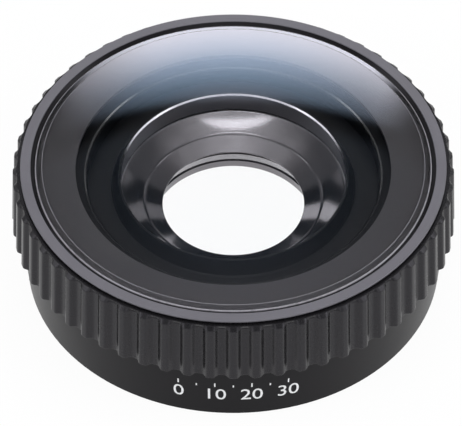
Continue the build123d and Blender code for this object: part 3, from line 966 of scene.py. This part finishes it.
class LENS_OT_stage(Operator):
    """Set the white floor, the soft studio light and the camera"""

    bl_idname = "lens.stage"
    bl_label = "Stage"

    def execute(self, context):
        self.floor(context)
        self.studio(context)
        self.lamps(context)
        self.camera(context)
        return {"FINISHED"}

    def floor(self, context):
        """White ground under the lens, which shows nothing from below."""
        tree = Finish("floor_white")
        path = tree.node("ShaderNodeLightPath")
        # Painted shadow and painted shade that only mirrors see: the ground darkens in an arc before the
        # lens, and far behind it
        painted_shadow_arc = tree.radius.step(0.052, 0.038) * tree.radius.step(0.028, 0.031) * tree.y.step(-0.006, -0.016)
        painted_shade_far = tree.y.step(0.10, 0.30)
        glossy = path["Is Glossy Ray"] * (0.94 - painted_shadow_arc * 0.78) * (1 - painted_shade_far * 0.7)
        shown = (path["Is Camera Ray"] * 0.95).max(glossy).max(path["Is Transmission Ray"])
        fibre = tree.noise(tree.place, scale=60, detail=3.0)
        tone = tree.blend(fibre, (0.80, 0.80, 0.80, 1.0), (0.84, 0.84, 0.84, 1.0))
        paper = tree.principled({"Base Color": tone, "Roughness": 0.9})
        glow = tree.node("ShaderNodeEmission", {}, {"Color": (1, 1, 1, 1), "Strength": 1.0})
        above = tree.node("ShaderNodeMixShader", {}, {0: shown, 1: paper, 2: glow})
        below = tree.node("ShaderNodeNewGeometry")["Backfacing"]
        nothing = tree.node("ShaderNodeBsdfTransparent")
        material = tree.close(tree.node("ShaderNodeMixShader", {}, {0: below, 1: above, 2: nothing}))
        mesh = bpy.data.meshes.new("floor")
        half, drop = 2.5, -0.03 * MM
        corners = [(-half, -half, drop), (half, -half, drop), (half, half, drop), (-half, half, drop)]
        mesh.from_pydata(corners, [], [(0, 1, 2, 3)])
        mesh.materials.append(material)
        floor = bpy.data.objects.new("floor", mesh)
        context.scene.collection.objects.link(floor)

    def studio(self, context):
        """Studio whose panels light the lens and show in its mirrors; the camera sees plain white."""
        world = bpy.data.worlds.new("studio")
        context.scene.world = world
        world.use_nodes = True
        world.node_tree.nodes.clear()
        tree = Tree(world.node_tree)
        x, y, z = tree.parts(tree.node("ShaderNodeTexCoord")["Generated"])
        behind = y.step(0.0, 0.2)
        light = self.panels(context.scene.lens_stage, x, y, z, behind)
        path = tree.node("ShaderNodeLightPath")
        bounced = path["Glossy Depth"].max(path["Diffuse Depth"])
        straight = 1 - bounced.maths("MINIMUM", 1.0)
        low = z.step(0.06, -0.02)
        shown = path["Is Camera Ray"].max(path["Is Transmission Ray"] * straight)
        shown = shown.max(path["Is Glossy Ray"] * low * (1 - behind))
        ground = tree.node("ShaderNodeBackground", {}, {
            "Color": (0.96, 0.975, 1.0, 1.0),
            "Strength": light + shown * (1 - light),
        })
        tree.node("ShaderNodeOutputWorld", {}, {"Surface": ground})

    def panels(self, settings, x, y, z, behind):
        """Brightness of the studio along a direction; z is 1 overhead and y is 1 straight behind."""
        side = x.maths("ABSOLUTE")
        out = (x * x + y * y) ** 0.5
        overhead = z.step(0.62, 0.66)
        # Wide panel behind, dimmer on its left, which the far half of the front glass mirrors
        back = behind * side.step(0.31, 0.23) * z.band(0.14, 0.56, soft=0.04)
        back = back * (1 - x.step(-0.10, -0.30) * 0.7) * settings.back_light
        # Two narrow strips beside it, brighter on the left, for the streaks in the funnel
        strips = behind * side.band(0.41, 0.47, soft=0.02) * z.band(0.36, 0.50, soft=0.03)
        strips = strips * (x.step(0.0, -0.1) * 1.3 + x.step(0.0, 0.1) * 0.45)
        # Panels beside the lens: rear wings, right, left, and high ones for the edge of the lip
        wings = behind * side.band(0.57, 0.80, soft=0.03) * z.band(0.08, 0.60, soft=0.05)
        wings = wings * settings.wing_light
        right = x.step(0.80, 0.93) * settings.side_light
        left = (x * -1.0).step(0.82, 0.95) * (settings.side_light * 0.7)
        high = side.step(0.62, 0.70) * y.band(-0.45, 0.20, soft=0.10) * z.band(0.30, 0.85, soft=0.10)
        high = high * settings.edge_light
        # Ceiling, brightest straight overhead, and its rear part a little brighter again
        dome = (out.step(0.62, 0.12) * 0.9 + 0.14) * overhead * settings.top_light
        dome = dome + y.band(0.20, 0.74, soft=0.10) * side.step(0.55, 0.35) * overhead * 0.32
        # Small bright bar overhead, which the funnel mirrors above the opening
        bar = ((x + 0.03) / 0.25) ** 2.0 + ((y + 0.037) / 0.028) ** 2.0
        bar = bar.step(1.5, 0.5) * z.step(0.8, 0.9) * 3.0
        # Low panel in front, for the near side of the base and the lip
        front = y.step(-0.15, -0.35) * z.band(0.24, 0.52, soft=0.08) * settings.front_light
        haze = 0.03
        return back + strips + wings + right + left + high + dome + bar + front + haze

    def lamps(self, context):
        """Soft lamps for the matt surfaces, which no mirror or glass shows."""
        # Name, place and width in metres, and power in watts
        for name, place, width, power in (
            ("lamp_top", (0.05, -0.05, 0.75), 0.7, 2.2),
            ("lamp_left", (-0.6, -0.25, 0.45), 0.4, 0.7),
            ("lamp_right", (0.62, -0.15, 0.5), 0.4, 0.9),
        ):
            light = bpy.data.lights.new(name, "AREA")
            light.shape = "DISK"
            light.size = width
            light.energy = power
            lamp = bpy.data.objects.new(name, light)
            lamp.location = place
            lamp.rotation_euler = Vector(place).to_track_quat("Z", "Y").to_euler()
            lamp.visible_glossy = False
            lamp.visible_transmission = False
            context.scene.collection.objects.link(lamp)

    def camera(self, context):
        """Camera that frames the lens as the photograph does."""
        settings = context.scene.lens_stage
        data = bpy.data.cameras.new("camera")
        data.sensor_width = SENSOR_W
        data.lens = SENSOR_W * settings.distance / (PICTURE_W / PIXELS_PER_MM * MM)
        data.clip_start = 0.1
        data.clip_end = 10
        data.shift_x = (CENTRE_PIXEL[0] - MIDDLE_PIXEL[0]) / PICTURE_W
        data.shift_y = (MIDDLE_PIXEL[1] - CENTRE_PIXEL[1]) / PICTURE_W
        camera = bpy.data.objects.new("camera", data)
        away = Vector((0, -math.cos(settings.elevation), math.sin(settings.elevation)))
        camera.location = Vector((0, 0, AIM_HEIGHT * MM)) + away * settings.distance
        camera.rotation_euler = away.to_track_quat("Z", "Y").to_euler()
        context.scene.collection.objects.link(camera)
        context.scene.camera = camera
        context.scene.view_settings.view_transform = "Standard"


class LENS_PT_sidebar(Panel):
    """Sizes, colours and steps of the lens"""

    bl_label = "Wide-angle lens"
    bl_space_type = "VIEW_3D"
    bl_region_type = "UI"
    bl_category = "Lens"

    def draw(self, context):
        for setting in SETTINGS:
            group = getattr(context.scene, setting)
            box = self.layout.box()
            for name in group.bl_rna.properties.keys():
                if name not in ("rna_type", "name"):
                    box.prop(group, name)
        for step in STEPS:
            self.layout.operator(step.bl_idname)


SETTINGS = {
    "lens_colours": LensColours,
    "lens_glass": GlassSizes,
    "lens_grip": GripSizes,
    "lens_scale": ScaleSizes,
    "lens_stage": StageSettings,
}
STEPS = (
    LENS_OT_glasses,
    LENS_OT_twist_ring,
    LENS_OT_front_ring,
    LENS_OT_barrel,
    LENS_OT_rear,
    LENS_OT_scale,
    LENS_OT_stage,
)


def register():
    for kind in (*SETTINGS.values(), *STEPS, LENS_PT_sidebar):
        bpy.utils.register_class(kind)
    for name, kind in SETTINGS.items():
        setattr(bpy.types.Scene, name, PointerProperty(type=kind))


def unregister():
    for name in SETTINGS:
        delattr(bpy.types.Scene, name)
    for kind in reversed((*SETTINGS.values(), *STEPS, LENS_PT_sidebar)):
        bpy.utils.unregister_class(kind)


def main():
    register()
    bpy.ops.lens.glasses()
    bpy.ops.lens.twist_ring()
    bpy.ops.lens.front_ring()
    bpy.ops.lens.barrel()
    bpy.ops.lens.rear()
    bpy.ops.lens.scale()
    bpy.ops.lens.stage()
    bpy.context.view_layer.update()


if __name__ == "__main__":
    main()
